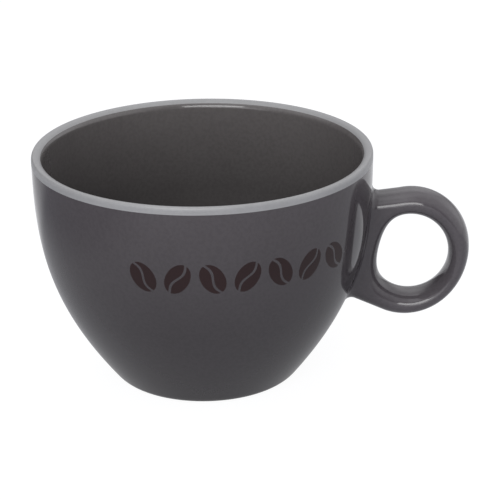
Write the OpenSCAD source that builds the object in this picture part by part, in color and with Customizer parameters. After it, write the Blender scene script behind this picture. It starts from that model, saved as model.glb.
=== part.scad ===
// Cappuccino cup: a turned stoneware bowl with a closed ring handle luted to its side,
// glazed dark inside and out, with a pale glaze on the lip and a bare standing ring.
// Lengths are in millimetres and angles in degrees. +Z is up and the handle points along +X.
// The origin is on the cup's axis, in the plane that the cup stands on.
// Sizes are those of the glazed cup: the clay lies one coat of glaze below them.

/* [Bowl] */
// Outside diameter of the rim
rim_d = 120.4; // [112:0.2:130]
// Height from the table to the top of the lip
cup_h = 83.6; // [78:0.2:90]
// Outside diameter where the wall leaves the heel
heel_d = 69.2; // [66:0.2:74]
// Height at which the wall leaves the heel
heel_h = 2.5; // [2:0.1:3]
// Lean of the wall where it leaves the heel, from upright
heel_lean = 37.8; // [34:0.2:42]
// Share of the wall's height along which it keeps the lean of the heel
heel_pull_share = 0.465; // [0.4:0.005:0.5]
// Share of the wall's height along which it stays upright below the lip
rim_pull_share = 0.376; // [0.32:0.004:0.42]
// Thickness of the wall
wall_t = 4; // [3.6:0.1:4.6]

/* [Lip] */
// Width of the small round outside the top of the lip
lip_out_w = 0.7; // [0.6:0.05:1.2]
// Height of that round
lip_out_h = 1.4; // [1.2:0.1:1.8]
// Height over which the lip falls away toward the inside
lip_in_h = 3; // [2.4:0.1:3.6]
// Depth of the pale band below the top of the lip, on the outside
band_h = 2.6; // [2.2:0.1:4]
// Share of the lip's round toward the inside that the pale band covers
band_in_share = 0.55; // [0.45:0.01:0.7]

/* [Foot] */
// Outside diameter of the standing ring
foot_d = 61; // [58:0.5:62]
// Width of the standing ring
foot_w = 4.5; // [3.5:0.1:5.5]
// Depth of the hollow inside the standing ring
recess_h = 2.2; // [1.6:0.1:2.8]
// Slant of the standing ring's inner side, from upright
recess_slant = 25; // [10:1:40]
// Thickness of the floor
floor_t = 5; // [4.2:0.1:6]
// Share of the wall's curve that the bend between floor and wall takes inside
bend_share = 0.2; // [0.16:0.01:0.24]

/* [Handle] */
// Outside diameter of the ring, the mean of its long and short axes
ring_d = 45.4; // [43.8:0.2:47]
// Diameter of the finger hole, the mean of its long and short axes
hole_d = 28.5; // [27.5:0.1:29.3]
// Width of the ring across the handle
ring_w = 15; // [13:0.2:17]
// Share by which the ring is longer on its long axis
ring_stretch_share = 0.05; // [0:0.002:0.07]
// Slope of the ring's long axis above the level
ring_slope = 71; // [64:1:82]
// Share by which the finger hole is longer on its long axis
hole_stretch_share = 0.04; // [0:0.002:0.06]
// Slope of the hole's long axis above the level
hole_slope = 86; // [76:1:94]
// Height of the middle of the ring, as a share of the cup's height
ring_height_share = 0.547; // [0.52:0.001:0.57]
// Level distance from the wall to the middle of the ring
ring_off = 16; // [15.2:0.1:17]
// Distance of the hole's middle beyond that of the ring, away from the cup
hole_shift = 0.8; // [0:0.1:1.6]
// Distance of the hole's middle below that of the ring
hole_drop = 0.3; // [0:0.1:0.8]
// Thickness of the ring's side that lies along the wall
web_t = 4.4; // [4:0.1:5]
// Squareness of the hole's two corners at the wall
hole_square = 5.2; // [4:0.1:7]
// Squareness of the ring's rounded section
edge_square = 2; // [1.8:0.1:2.6]
// Slope of the upper arm's top edge as it runs down to the wall
upper_arm_slope = 8; // [2:1:14]
// Slope of the lower arm's bottom edge as it runs up to the wall
lower_arm_slope = 23; // [17:1:29]
// Radius of the hollow between the handle and the wall
root_r = 3; // [2.6:0.1:3.4]

/* [Coats] */
// Thickness of the glaze
glaze_t = 0.4; // [0.3:0.05:0.5]
// Thickness of the slip under the handle
slip_t = 0.6; // [0.4:0.05:0.8]
// Clearance of the slip from the pieces around it
fit_gap = 0.05; // [0.03:0.01:0.08]
// Share of the heel's curve, from the table up, that stays bare of glaze
bare_heel_share = 0.5; // [0.3:0.05:0.7]

/* [Hidden] */

clay_colour = [0.70, 0.66, 0.60];
slip_colour = [0.62, 0.58, 0.53];
dark_glaze = [0.30, 0.29, 0.31];
pale_glaze = [0.66, 0.66, 0.67];

round_facets = 120;
wall_steps = 30;
bend_steps = 10;
lip_steps = 8;
heel_steps = 6;

// Curves of the bowl's section, as [radius, height]
rim_r = rim_d/2;
band_z = cup_h - band_h;
crown_r = rim_r - lip_out_w;
heel_point = [heel_d/2, heel_h];
rim_point = [rim_r, cup_h - lip_out_h];
ring_inner_r = foot_d/2 - foot_w;
ceiling_r = ring_inner_r - recess_h*tan(recess_slant);
wall_h = rim_point.y - heel_point.y;
heel_pull = heel_point + heel_pull_share*wall_h*[sin(heel_lean), cos(heel_lean)];
rim_pull = rim_point - rim_pull_share*wall_h*[0, 1];

function unit(v) = v/norm(v);
function blend(a, b, s) = a + (b - a)*s;
function curve3(a, b, c, s) = blend(blend(a, b, s), blend(b, c, s), s);
function curve4(a, b, c, d, s) = blend(curve3(a, b, c, s), curve3(b, c, d, s), s);
function backward(list) = [for (i = [len(list) - 1:-1:0]) list[i]];

// The wall from heel (0) to lip (1), and one layer of it at a depth below the glazed surface
function wall_at(s) = curve4(heel_point, heel_pull, rim_pull, rim_point, s);
function wall_along(s) =
    unit(curve3(heel_pull - heel_point, rim_pull - heel_pull, rim_point - rim_pull, s));
function wall_layer(s, depth) = let (along = wall_along(s)) wall_at(s) - depth*[along.y, -along.x];
function outer_wall(depth) = [for (i = [0:wall_steps]) wall_layer(i/wall_steps, depth)];

// The rounded heel, from the standing ring (0) to the start of the wall (1)
function heel_at(s, depth) =
    let (top = wall_layer(0, depth))
    curve3([foot_d/2, 0], top - top.y*[tan(heel_lean), 1], top, s);

// The lip as two quarter ellipses that meet at its crown. The pale part runs from the outside over
// the crown, and the dark part from there to the inside.
function lip_out(a, depth) =
    [crown_r + (lip_out_w - depth)*cos(a), cup_h - lip_out_h + (lip_out_h - depth)*sin(a)];
function lip_in(a, depth) =
    [crown_r - (wall_t - lip_out_w - depth)*sin(a), cup_h - lip_in_h + (lip_in_h - depth)*cos(a)];
function pale_lip(depth) =
    concat(
        [for (i = [1:lip_steps]) lip_out(90*i/lip_steps, depth)],
        [for (i = [1:lip_steps]) lip_in(90*band_in_share*i/lip_steps, depth)]);
function dark_lip(depth) =
    [for (i = [0:lip_steps]) lip_in(90*blend(band_in_share, 1, i/lip_steps), depth)];

// The inside from below the lip down to the axis, with a bend from wall to floor
function inner_wall(depth) =
    let (floor_z = recess_h + floor_t - depth,
         top = [rim_r - wall_t + depth, cup_h - lip_in_h],
         start = wall_layer(bend_share, wall_t - depth),
         along = wall_along(bend_share),
         corner = start - (start.y - floor_z)*[along.x/along.y, 1],
         end = corner - [norm(start - corner), 0])
    concat(
        [for (i = [wall_steps - 1:-1:1])
            let (p = wall_layer(blend(bend_share, 1, i/wall_steps), wall_t - depth))
            if (p.y < top.y) p],
        [for (i = [0:bend_steps]) curve3(start, corner, end, i/bend_steps)],
        [[0, floor_z]]);

// Where the pale band starts on the outside, at each depth
function band_point(depth) = [lookup(band_z, heights_of(outer_wall(depth))), band_z];
function heights_of(outline) = [for (p = outline) [p.y, p.x]];

module turned(outline) {
    rotate_extrude($fn = round_facets) polygon(outline);
}

// The wall as the handle meets it: radius by height for the glazed and the clay surface
glazed_wall = heights_of(outer_wall(0));
clay_wall = heights_of(outer_wall(glaze_t));
wall_leans = [for (i = [0:wall_steps]) let (s = i/wall_steps, along = wall_along(s))
    [wall_at(s).y, atan2(along.x, along.y)]];

// A skin of the handle is [growth beyond the glazed surface, wall under it, radius of its root]
glazed_skin = [0, glazed_wall, root_r];
clay_skin = [-glaze_t, clay_wall, root_r + glaze_t];
slip_skin = [-glaze_t - fit_gap, clay_wall, root_r + glaze_t + fit_gap];
slip_edge_shares = [1, 0.4, 0.12, 0];

ring_z = ring_height_share*cup_h;
ring_u = lookup(ring_z, glazed_wall) + ring_off;
ring_lean = lookup(ring_z, wall_leans);
flat_off = ring_off*cos(ring_lean) - web_t;

// Lines run outward from the finger hole at angles round the ring. A line has side_cols steps from the
// hole to its end on one side of the handle and seat_cols more to the middle plane; the other side mirrors.
free_lines = 52;
root_lines = 26;
all_lines = free_lines + root_lines;
side_cols = 8;
seat_cols = 3;
half_cols = side_cols + seat_cols;
cols = 2*half_cols;
search_steps = 30;

// Outlines of ring and hole by the angle round the ring. The ring is an oval that runs on in two
// straight arms to the wall, and the hole is flattened along the wall.
upper_turn = 90 + upper_arm_slope;
lower_turn = 270 - lower_arm_slope;
function facing(a) = a < lower_turn - 360 || a > 180 ? lower_turn : min(a, upper_turn);
function stretch(a, share, slope) = 1 + share*cos(2*(a - slope));
function oval_r(a, skin) = ring_d/2*stretch(a, ring_stretch_share, ring_slope) + skin[0];
function ring_r(a, skin) = oval_r(facing(a), skin)/cos(a - facing(a));
function round_hole_r(a, skin) =
    hole_d/2*stretch(a, hole_stretch_share, hole_slope)
        + hole_shift*cos(a) - hole_drop*sin(a) - skin[0];
function hole_r(a, skin) =
    let (toward_wall = max(0, cos(a - 180 + ring_lean)))
    pow(pow(round_hole_r(a, skin), -hole_square) + pow(toward_wall/(flat_off - skin[0]), hole_square),
        -1/hole_square);

// The ring's section: how far a point has come from its nearer edge, and the half width there
function half_t(a, skin) = (oval_r(a, skin) - round_hole_r(a, skin))/2;
function from_hole(a, r, skin) = r - hole_r(a, skin);
function from_outside(a, r, skin) = oval_r(facing(a), skin) - r*cos(a - facing(a));
function fill_share(a, r, skin) =
    max(0, min(1, min(from_hole(a, r, skin), from_outside(a, r, skin))/half_t(a, skin)));
function half_w(a, r, skin) =
    (ring_w/2 + skin[0])*pow(1 - pow(1 - fill_share(a, r, skin), edge_square), 1/edge_square);
function ring_point(a, r, skin) = [ring_u + r*cos(a), half_w(a, r, skin), ring_z + r*sin(a)];

// Distance of a point from the wall, and the wall's normal there
function wall_gap(p, skin) = (norm([p.x, p.y]) - lookup(p.z, skin[1]))*cos(lookup(p.z, wall_leans));
function wall_normal(p) =
    let (lean = lookup(p.z, wall_leans), r = norm([p.x, p.y]))
    [cos(lean)*p.x/r, cos(lean)*p.y/r, -sin(lean)];

// The ring's own normal, and a point of the ring spread along the wall into the hollow of the root
function ring_normal(a, r, skin) =
    let (way = from_outside(a, r, skin) < from_hole(a, r, skin) ? facing(a) : a + 180,
         edge = pow(1 - fill_share(a, r, skin), edge_square - 1)/half_t(a, skin),
         side = pow(half_w(a, r, skin)/(ring_w/2 + skin[0]), edge_square - 1)/(ring_w/2 + skin[0]))
    [edge*cos(way), side, edge*sin(way)];
function root_point(a, r, skin) =
    let (p = ring_point(a, r, skin), gap = max(0, wall_gap(p, skin)))
    gap >= skin[2] ? p :
    let (away = wall_normal(p),
         normal = ring_normal(a, r, skin),
         spread = skin[2] - sqrt(pow(skin[2], 2) - pow(skin[2] - gap, 2)))
    seated(p + spread*unit(normal - (normal*away)*away), gap, skin);
function seated(p, gap, skin) =
    let (r = lookup(p.z, skin[1]) + gap/cos(lookup(p.z, wall_leans)), turn = r/norm([p.x, p.y]))
    [p.x*turn, p.y*turn, p.z];

// Angle at which the ring's outline reaches a gap from the wall, between a free and a buried angle
function tip_angle(free, buried, skin, gap, steps = search_steps) =
    let (mid = (free + buried)/2)
    steps == 0 ? mid :
    wall_gap(ring_point(mid, ring_r(mid, skin), skin), skin) > gap
        ? tip_angle(mid, buried, skin, gap, steps - 1)
        : tip_angle(free, mid, skin, gap, steps - 1);
// Distance from the ring's middle at which a line reaches that gap
function line_end(a, free, buried, skin, gap, steps = search_steps) =
    let (mid = (free + buried)/2)
    steps == 0 ? mid :
    wall_gap(ring_point(a, mid, skin), skin) > gap
        ? line_end(a, mid, buried, skin, gap, steps - 1)
        : line_end(a, free, mid, skin, gap, steps - 1);

// The points of one line: a free line closes on itself, a line at the wall ends in the seat
function free_line(a, skin, last) =
    let (near = hole_r(a, skin), far = ring_r(a, skin))
    [for (j = [0:half_cols])
        let (c = cos(180*min(1, j/last)))
        root_point(a, blend(near, far, (1 - sign(c)*pow(abs(c), 2/edge_square))/2), skin)];
function seat_line(a, skin, gap) =
    let (near = hole_r(a, skin),
         far = line_end(a, near, ring_r(a, skin), skin, gap),
         side = [for (j = [0:side_cols])
            root_point(a, blend(near, far, (1 - cos(180*j/side_cols))/2), skin)],
         edge = side[side_cols])
    concat(side, [for (j = [1:seat_cols])
        seated([edge.x, edge.y*(1 - j/seat_cols), edge.z], gap, skin)]);

// All lines of a skin down to a gap from the wall: the upper tip, the seat, the lower tip, then the
// free ring from the lower arm round to the upper one
function root_ends(skin, gap) = [tip_angle(90, 180, skin, gap), tip_angle(270, 180, skin, gap)];
function seat_block(skin, gap) =
    let (ends = root_ends(skin, gap), mid = (ends[0] + ends[1])/2, half = (ends[1] - ends[0])/2)
    concat(
        [free_line(ends[0], skin, side_cols)],
        [for (i = [1:root_lines - 1]) seat_line(mid + half*sin(90*(2*i/root_lines - 1)), skin, gap)],
        [free_line(ends[1], skin, side_cols)]);
function free_block(skin, gap) =
    let (ends = root_ends(skin, gap),
         mid = (ends[0] + ends[1] - 360)/2,
         half = (ends[0] - ends[1] + 360)/2)
    [for (i = [1:free_lines - 1])
        let (s = 2*i/free_lines - 1)
        free_line(mid + half*(s + sin(90*s))/2, skin, half_cols)];

// Points and faces of a skin. The two tips are one point each, so their seat columns share an index.
function line_points(lines) = [for (line = lines) for (i = [0:cols - 1])
    i <= half_cols ? line[i] : let (p = line[cols - i]) [p.x, -p.y, p.z]];
function skin_points(skin, gap) = line_points(concat(seat_block(skin, gap), free_block(skin, gap)));
function is_seat_col(i) = i >= side_cols && i <= cols - side_cols;
function point_index(k, i) =
    let (line = k % all_lines, col = i % cols, is_tip = line == 0 || line == root_lines)
    line*cols + (is_tip && is_seat_col(col) ? half_cols : col);
function two_faces(a, b, c, d) = [[a, b, c], [a, c, d]];
function grid_faces(lines, columns) =
    let (faces = [for (k = lines) for (i = columns) each two_faces(
        point_index(k, i), point_index(k, i + 1), point_index(k + 1, i + 1), point_index(k + 1, i))])
    [for (f = faces) if (f[0] != f[1] && f[1] != f[2] && f[2] != f[0]) f];
function seat_faces() = grid_faces([0:root_lines - 1], [side_cols:cols - side_cols - 1]);
function open_faces() = concat(
    grid_faces([0:root_lines - 1], [0:side_cols - 1]),
    grid_faces([0:root_lines - 1], [cols - side_cols:cols - 1]),
    grid_faces([root_lines:all_lines - 1], [0:cols - 1]));

// The closed edge of the root: upper tip, one side down, lower tip, the other side up
root_edge = concat(
    [for (k = [0:root_lines]) point_index(k, side_cols)],
    [for (k = [root_lines - 1:-1:1]) point_index(k, cols - side_cols)]);

function flipped(faces) = [for (f = faces) [f[0], f[2], f[1]]];
function shifted(faces, count) = [for (f = faces) f + [count, count, count]];
// Faces of a strip between two closed edges of equal length, given as lists of point indices
function strip(upper, lower) = [for (k = [0:len(upper) - 1])
    let (next = (k + 1) % len(upper))
    each two_faces(upper[next], upper[k], lower[k], lower[next])];

glazed_points = skin_points(glazed_skin, 0);
clay_points = skin_points(clay_skin, 0);

// A plug through the outer coat with the outline of the root, pointed at both ends. It runs past
// each face of the coat by one more thickness.
plug_reach_share = 2;
module root_plug() {
    outer = [for (i = root_edge) blend(clay_points[i], glazed_points[i], plug_reach_share)];
    inner = [for (i = root_edge) blend(glazed_points[i], clay_points[i], plug_reach_share)];
    count = len(root_edge);
    rim = [for (k = [0:count - 1]) k];
    polyhedron(
        concat(outer, inner, [[ring_u, 0, ring_z], [0, 0, ring_z]]),
        concat(
            strip(rim, [for (k = rim) k + count]),
            [for (k = rim) [k, (k + 1) % count, 2*count]],
            [for (k = rim) [count + (k + 1) % count, count + k, 2*count + 1]]));
}

module bowl() {
    color(clay_colour)
    turned(concat(
        [[0, recess_h], [ceiling_r, recess_h], [ring_inner_r, 0]],
        [for (i = [0:heel_steps - 1]) heel_at(i/heel_steps, glaze_t)],
        outer_wall(glaze_t),
        pale_lip(glaze_t),
        [for (i = [1:lip_steps]) dark_lip(glaze_t)[i]],
        inner_wall(glaze_t)));
}

module ring_handle() {
    color(clay_colour)
    polyhedron(skin_points(clay_skin, slip_t), concat(seat_faces(), open_faces()));
}

module luting_slip() {
    layers = [for (share = slip_edge_shares)
        line_points(seat_block(slip_skin, blend(fit_gap, slip_t - fit_gap, share)))];
    count = len(layers[0]);
    last = len(layers) - 1;
    color(slip_colour)
    polyhedron(
        [for (layer = layers) each layer],
        concat(
            flipped(seat_faces()),
            [for (m = [0:last - 1])
                each strip([for (i = root_edge) i + m*count], [for (i = root_edge) i + (m + 1)*count])],
            shifted(seat_faces(), last*count)));
}

module outer_glaze() {
    heel_coat = [for (i = [0:heel_steps - 1]) blend(bare_heel_share, 1, i/heel_steps)];
    color(dark_glaze)
    difference() {
        turned(concat(
            [for (s = heel_coat) heel_at(s, 0)],
            [for (p = outer_wall(0)) if (p.y < band_z) p],
            [band_point(0), band_point(glaze_t)],
            backward([for (p = outer_wall(glaze_t)) if (p.y < band_z) p]),
            backward([for (s = heel_coat) heel_at(s, glaze_t)])));
        root_plug();
    }
}

module inner_glaze() {
    color(dark_glaze)
    turned(concat(
        dark_lip(0),
        inner_wall(0),
        backward(inner_wall(glaze_t)),
        backward(dark_lip(glaze_t))));
}

module rim_glaze() {
    color(pale_glaze)
    turned(concat(
        [band_point(0)],
        [for (p = outer_wall(0)) if (p.y > band_z) p],
        pale_lip(0),
        backward(pale_lip(glaze_t)),
        backward([for (p = outer_wall(glaze_t)) if (p.y > band_z) p]),
        [band_point(glaze_t)]));
}

module handle_glaze() {
    count = len(glazed_points);
    color(dark_glaze)
    polyhedron(
        concat(glazed_points, clay_points),
        concat(
            open_faces(),
            shifted(flipped(open_faces()), count),
            strip(root_edge, [for (i = root_edge) i + count])));
}

module base_glaze() {
    color(dark_glaze)
    turned([
        [0, recess_h - glaze_t],
        [ceiling_r + glaze_t*tan(recess_slant), recess_h - glaze_t],
        [ceiling_r, recess_h],
        [0, recess_h]]);
}

bowl();
ring_handle();
luting_slip();
outer_glaze();
inner_glaze();
rim_glaze();
handle_glaze();
base_glaze();
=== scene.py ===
import math

import bmesh
import bpy
import numpy as np
from mathutils import Matrix, Vector


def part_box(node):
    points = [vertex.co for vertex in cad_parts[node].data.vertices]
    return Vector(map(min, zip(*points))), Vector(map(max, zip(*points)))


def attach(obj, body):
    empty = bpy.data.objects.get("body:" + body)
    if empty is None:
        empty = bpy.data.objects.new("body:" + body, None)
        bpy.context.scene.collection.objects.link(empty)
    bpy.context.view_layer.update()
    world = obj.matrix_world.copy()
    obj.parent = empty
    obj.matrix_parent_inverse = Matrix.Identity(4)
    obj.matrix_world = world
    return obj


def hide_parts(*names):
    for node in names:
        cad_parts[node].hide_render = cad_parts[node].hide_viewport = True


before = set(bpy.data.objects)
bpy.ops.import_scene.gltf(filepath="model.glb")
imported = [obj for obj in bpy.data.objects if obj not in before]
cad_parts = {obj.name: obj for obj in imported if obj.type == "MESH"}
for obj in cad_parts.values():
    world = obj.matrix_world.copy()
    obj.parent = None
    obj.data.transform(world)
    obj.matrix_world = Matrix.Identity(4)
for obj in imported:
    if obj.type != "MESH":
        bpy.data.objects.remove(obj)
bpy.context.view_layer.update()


# Bowl: the turned body of the cup, cast in buff stoneware and fired. All coats of glaze lie on it,
# and only its standing ring stays bare, so that the cup doesn't stick to the kiln's shelf.
MM = 0.001
CUP_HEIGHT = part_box("rim_glaze")[1].z
RIM_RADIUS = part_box("rim_glaze")[1].y
GLAZE_THICKNESS = 0.4 * MM
WALL_THICKNESS = 4 * MM
HEEL_POINT = Vector((34.6, 2.5)) * MM
HEEL_LEAN = math.radians(37.8)
HEEL_PULL_SHARE = 0.465
RIM_PULL_SHARE = 0.376
LIP_OUTSIDE_WIDTH = 0.7 * MM
LIP_OUTSIDE_HEIGHT = 1.4 * MM
LIP_INSIDE_HEIGHT = 3 * MM
PALE_LIP_SHARE = 0.55
FOOT_RADIUS = 30.5 * MM
FOOT_WIDTH = 4.5 * MM
RECESS_HEIGHT = 2.2 * MM
RECESS_SLANT = math.radians(25)
FLOOR_THICKNESS = 5 * MM
BEND_SHARE = 0.2
WALL_STEPS = 72
LIP_STEPS = 14
HEEL_STEPS = 14
BEND_STEPS = 24
TURNED_FACETS = 192
WHEEL_RADIUS = 10 * MM
MERGE_DISTANCE = 0.001 * MM
SHARP_EDGE = math.radians(40)


def curve_point(points, share):
    """A point on the curve from the first point to the last, pulled by those between them."""
    while len(points) > 1:
        points = [a.lerp(b, share) for a, b in zip(points, points[1:])]
    return points[0]


def shares(steps):
    """Even shares of a way, from none of it to all of it."""
    return [i / steps for i in range(steps + 1)]


RIM_POINT = Vector((RIM_RADIUS, CUP_HEIGHT - LIP_OUTSIDE_HEIGHT))
WALL_RISE = RIM_POINT.y - HEEL_POINT.y
HEEL_WAY = Vector((math.sin(HEEL_LEAN), math.cos(HEEL_LEAN)))
HEEL_PULL = HEEL_POINT + HEEL_PULL_SHARE * WALL_RISE * HEEL_WAY
RIM_PULL = RIM_POINT - RIM_PULL_SHARE * WALL_RISE * Vector((0, 1))
WALL_CURVE = [HEEL_POINT, HEEL_PULL, RIM_PULL, RIM_POINT]


def wall_direction(share):
    """The way up along the wall, at a share of it."""
    return curve_point([b - a for a, b in zip(WALL_CURVE, WALL_CURVE[1:])], share).normalized()


def wall_layer(share, depth):
    """A point at a share of the way up the wall and at a depth below the face of the glaze."""
    along = wall_direction(share)
    return curve_point(WALL_CURVE, share) - depth * Vector((along.y, -along.x))


def outer_wall(depth):
    return [wall_layer(share, depth) for share in shares(WALL_STEPS)]


def heel_layer(share, depth):
    """A point on the heel's round, from the standing ring to the foot of the wall."""
    top = wall_layer(0, depth)
    corner = top - top.y * Vector((math.tan(HEEL_LEAN), 1))
    return curve_point([Vector((FOOT_RADIUS, 0)), corner, top], share)


def lip_outside(share, depth):
    """A point on the outer round of the lip, from the wall to the crown."""
    turn = math.pi / 2 * share
    return Vector((
        RIM_RADIUS - LIP_OUTSIDE_WIDTH + (LIP_OUTSIDE_WIDTH - depth) * math.cos(turn),
        RIM_POINT.y + (LIP_OUTSIDE_HEIGHT - depth) * math.sin(turn)))


def lip_inside(share, depth):
    """A point on the inner fall of the lip, from the crown to the inner wall."""
    turn = math.pi / 2 * share
    return Vector((
        RIM_RADIUS - LIP_OUTSIDE_WIDTH - (WALL_THICKNESS - LIP_OUTSIDE_WIDTH - depth) * math.sin(turn),
        CUP_HEIGHT - LIP_INSIDE_HEIGHT + (LIP_INSIDE_HEIGHT - depth) * math.cos(turn)))


def pale_lip(depth):
    """The part of the lip that the pale coat covers."""
    outside = [lip_outside(share, depth) for share in shares(LIP_STEPS)[1:]]
    return outside + [lip_inside(PALE_LIP_SHARE * share, depth) for share in shares(LIP_STEPS)[1:]]


def dark_lip(depth):
    """The rest of the lip, which the inner coat covers."""
    dark_share = 1 - PALE_LIP_SHARE
    return [lip_inside(PALE_LIP_SHARE + dark_share * share, depth) for share in shares(LIP_STEPS)]


def inner_wall(depth):
    """The inside from below the lip down the wall, round the bend and over the flat floor."""
    floor_height = RECESS_HEIGHT + FLOOR_THICKNESS - depth
    start = wall_layer(BEND_SHARE, WALL_THICKNESS - depth)
    along = wall_direction(BEND_SHARE)
    corner = start - (start.y - floor_height) * Vector((along.x / along.y, 1))
    end = corner - Vector(((start - corner).length, 0))
    wall = []
    for share in reversed(shares(WALL_STEPS)[1:-1]):
        point = wall_layer(BEND_SHARE + (1 - BEND_SHARE) * share, WALL_THICKNESS - depth)
        if point.y < CUP_HEIGHT - LIP_INSIDE_HEIGHT - LIP_OUTSIDE_WIDTH:
            wall.append(point)
    bend = [curve_point([start, corner, end], share) for share in shares(BEND_STEPS)]
    return wall + bend + [Vector((0, floor_height))]


def smoothed(tree, mesh, sharp_edge):
    """Adds nodes that shade a mesh smooth, apart from edges that bend more than the sharp edge."""
    add, link = tree.nodes.new, tree.links.new
    angle = add("GeometryNodeInputMeshEdgeAngle")
    blunt = add("FunctionNodeCompare")
    blunt.operation = "LESS_THAN"
    link(angle.outputs["Unsigned Angle"], blunt.inputs["A"])
    link(sharp_edge, blunt.inputs["B"])
    edges = add("GeometryNodeSetShadeSmooth")
    edges.domain = "EDGE"
    link(mesh, edges.inputs["Geometry"])
    link(blunt.outputs["Result"], edges.inputs["Shade Smooth"])
    return edges.outputs["Geometry"]


def finished(tree, given, mesh):
    """Ends a tree: real geometry in place of instances, the finish, and the way out."""
    add, link = tree.nodes.new, tree.links.new
    realized = add("GeometryNodeRealizeInstances")
    link(mesh, realized.inputs["Geometry"])
    coloured = add("GeometryNodeSetMaterial")
    link(realized.outputs["Geometry"], coloured.inputs["Geometry"])
    link(given.outputs["Finish"], coloured.inputs["Material"])
    link(coloured.outputs["Geometry"], add("NodeGroupOutput").inputs["Piece"])


def new_tree(name, inputs):
    """A tree with the named inputs and with one piece as its output."""
    tree = bpy.data.node_groups.new(name, "GeometryNodeTree")
    for label, kind in inputs:
        tree.interface.new_socket(label, in_out="INPUT", socket_type="NodeSocket" + kind)
    tree.interface.new_socket("Piece", in_out="OUTPUT", socket_type="NodeSocketGeometry")
    return tree


def turning_tree():
    """Sweeps an outline round a wheel, joins its ends and turns its faces outwards."""
    tree = new_tree("turned_on_the_wheel", [
        ("Outline", "Geometry"), ("Facets", "Int"), ("Wheel Radius", "Float"),
        ("Sharp Edge", "Float"), ("Finish", "Material")])
    add, link = tree.nodes.new, tree.links.new
    given = add("NodeGroupInput")
    wheel = add("GeometryNodeCurvePrimitiveCircle")
    link(given.outputs["Facets"], wheel.inputs["Resolution"])
    link(given.outputs["Wheel Radius"], wheel.inputs["Radius"])
    profile = add("GeometryNodeMeshToCurve")
    link(given.outputs["Outline"], profile.inputs["Mesh"])
    swept = add("GeometryNodeCurveToMesh")
    link(wheel.outputs["Curve"], swept.inputs["Curve"])
    link(profile.outputs["Curve"], swept.inputs["Profile Curve"])
    merged = add("GeometryNodeMergeByDistance")
    merged.inputs["Distance"].default_value = MERGE_DISTANCE
    link(swept.outputs["Mesh"], merged.inputs["Geometry"])
    outward = add("GeometryNodeFlipFaces")
    link(merged.outputs["Geometry"], outward.inputs["Mesh"])
    finished(tree, given, smoothed(tree, outward.outputs["Mesh"], given.outputs["Sharp Edge"]))
    return tree


def made_by_tree(name, mesh, tree, values):
    """Runs a mesh through a tree with the named values and keeps the plain mesh that comes out."""
    piece = bpy.data.objects.new(name, mesh)
    bpy.context.scene.collection.objects.link(piece)
    modifier = piece.modifiers.new(name, "NODES")
    modifier.node_group = tree
    for item in tree.interface.items_tree:
        if item.in_out == "INPUT" and item.name in values:
            modifier[item.identifier] = values[item.name]
    depsgraph = bpy.context.evaluated_depsgraph_get()
    made = bpy.data.meshes.new_from_object(piece.evaluated_get(depsgraph), depsgraph=depsgraph)
    piece.modifiers.remove(modifier)
    piece.data = made
    made.name = name
    bpy.data.meshes.remove(mesh)
    return piece


TURNING = turning_tree()


def turned_piece(name, outline, finish, closed=False, facets=TURNED_FACETS):
    """Turns (radius, height) points about the cup's axis. The wheel's second axis points down."""
    wire = bpy.data.meshes.new(name + "_outline")
    edges = [(i, i + 1) for i in range(len(outline) - 1)]
    if closed:
        edges.append((len(outline) - 1, 0))
    wire.from_pydata([(p.x - WHEEL_RADIUS, -p.y, 0) for p in outline], edges, [])
    return made_by_tree(name, wire, TURNING, {
        "Facets": facets, "Wheel Radius": WHEEL_RADIUS, "Sharp Edge": SHARP_EDGE, "Finish": finish})


def give(tree, socket, value):
    """Links a socket to another socket, or sets it to a plain value."""
    if isinstance(value, bpy.types.NodeSocket):
        tree.links.new(value, socket)
    else:
        socket.default_value = value


def math_node(tree, operation, *values):
    """The sum, product or the like of some sockets and numbers."""
    node = tree.nodes.new("ShaderNodeMath")
    node.operation = operation
    for socket, value in zip(node.inputs, values):
        give(tree, socket, value)
    return node.outputs[0]


def new_finish(name):
    """A material, its node tree, its shader and the piece's own coordinates."""
    finish = bpy.data.materials.new(name)
    finish.use_nodes = True
    tree = finish.node_tree
    place = tree.nodes.new("ShaderNodeTexCoord").outputs["Object"]
    return finish, tree, tree.nodes["Principled BSDF"], place


def noise(tree, place, size, detail):
    """Noise with features about as large as the size."""
    node = tree.nodes.new("ShaderNodeTexNoise")
    node.inputs["Scale"].default_value = 1 / size
    node.inputs["Detail"].default_value = detail
    tree.links.new(place, node.inputs["Vector"])
    return node.outputs["Fac"]


def ramp(tree, factor, stops):
    """Colours by factor, as (factor, colour) stops."""
    node = tree.nodes.new("ShaderNodeValToRGB")
    elements = node.color_ramp.elements
    while len(elements) < len(stops):
        elements.new(1.0)
    for element, (at, colour) in zip(elements, stops):
        element.position = at
        element.color = (*colour, 1)
    tree.links.new(factor, node.inputs["Fac"])
    return node.outputs["Color"]


def ranged(tree, value, start, end, low, high, smooth=False):
    """Lays out a value that runs from start to end between a low and a high number."""
    node = tree.nodes.new("ShaderNodeMapRange")
    if smooth:
        node.interpolation_type = "SMOOTHSTEP"
    for name, number in (("From Min", start), ("From Max", end), ("To Min", low), ("To Max", high)):
        node.inputs[name].default_value = number
    tree.links.new(value, node.inputs["Value"])
    return node.outputs["Result"]


def bump(tree, height, depth):
    """Normals of a surface that is uneven by that depth."""
    node = tree.nodes.new("ShaderNodeBump")
    node.inputs["Distance"].default_value = depth
    tree.links.new(height, node.inputs["Height"])
    return node.outputs["Normal"]


CLAY_TONES = [(0.30, (0.33, 0.28, 0.22)), (0.55, (0.45, 0.39, 0.32)), (0.72, (0.52, 0.46, 0.39))]
CLAY_GRAIN = 0.5 * MM
CLAY_GRAIN_DEPTH = 0.05 * MM
CLAY_GRAIN_SHARE = 0.5
CLAY_PATCH = 9 * MM
CLAY_ROUGHNESS = (0.75, 0.92)
CLAY_SPECULAR = 0.3


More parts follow.
